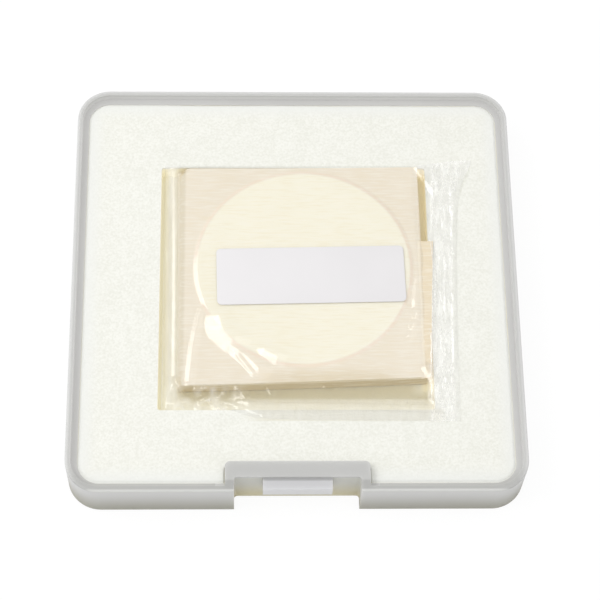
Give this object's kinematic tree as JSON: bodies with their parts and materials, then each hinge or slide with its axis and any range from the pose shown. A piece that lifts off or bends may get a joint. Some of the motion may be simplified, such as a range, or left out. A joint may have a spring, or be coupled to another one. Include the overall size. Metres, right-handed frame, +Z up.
{
  "type": "round optical filter in storage case",
  "caption": "Round optical bandpass filter folded in lens paper and sealed in a clear bag, lying in the foam recess of an open square plastic case base with a latch catch.",
  "frame": {"origin": "centre of the case base's underside, on the surface that it stands on", "axes": "+Z up out of the open case, -Y towards the front wall with the latch notch, +X to the right seen from the front"},
  "size_m": [0.075, 0.075, 0.0086],
  "materials": {
    "frosted_plastic": "frosted translucent polypropylene, satin",
    "foam": "fine closed-cell foam, matt",
    "lens_paper": "soft unbleached lens paper, matt",
    "filter_glass": "polished glass with a thin interference coating",
    "clear_film": "clear glossy film, milky at the crimped seal",
    "label_stock": "smooth white sticker, bare"
  },
  "bodies": {
    "root": {"case_base": "frosted_plastic", "foam_pad": "foam", "foam_frame": "foam", "lens_paper": "lens_paper", "filter_glass": "filter_glass", "clear_bag": "clear_film", "label": "label_stock"}
  },
  "joints": []
}
